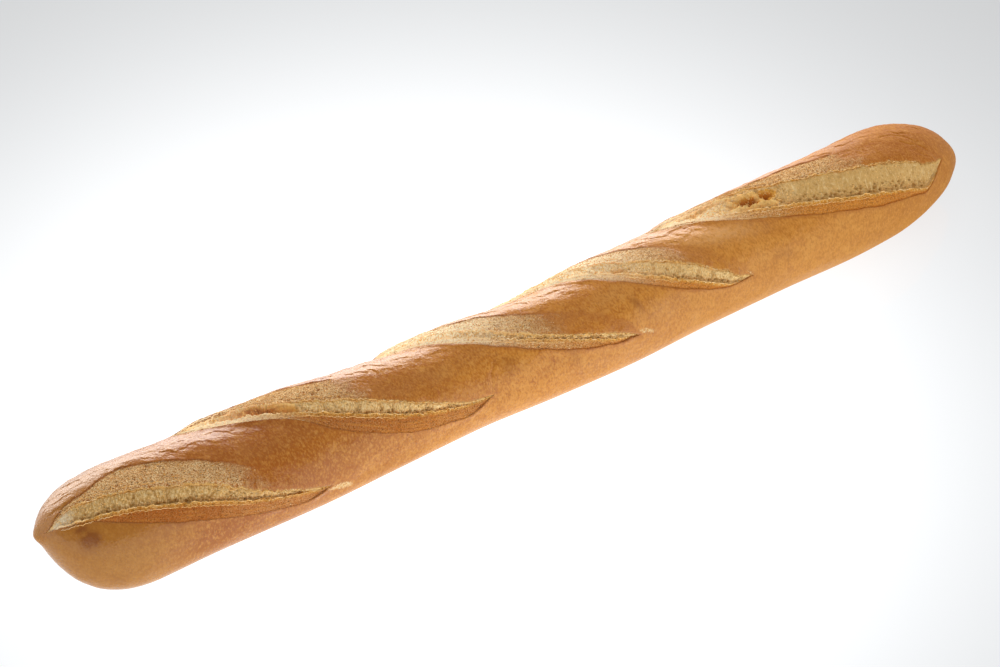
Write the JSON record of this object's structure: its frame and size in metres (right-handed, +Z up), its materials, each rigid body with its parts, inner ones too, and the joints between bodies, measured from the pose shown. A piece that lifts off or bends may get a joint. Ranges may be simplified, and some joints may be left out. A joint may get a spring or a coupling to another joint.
{
  "type": "baguette",
  "caption": "Baguette loaf with slanted slashes along the crown, golden crust and pale torn crumb in the slashes",
  "frame": {"origin": "middle of the loaf's box, on the surface it rests on", "axes": "+X along the loaf towards its rounder end, +Y towards the back, +Z up through the crown"},
  "size_m": [0.58, 0.0683, 0.0602],
  "materials": {
    "crust": "satin"
  },
  "bodies": {
    "root": {"loaf": "crust"}
  },
  "joints": []
}
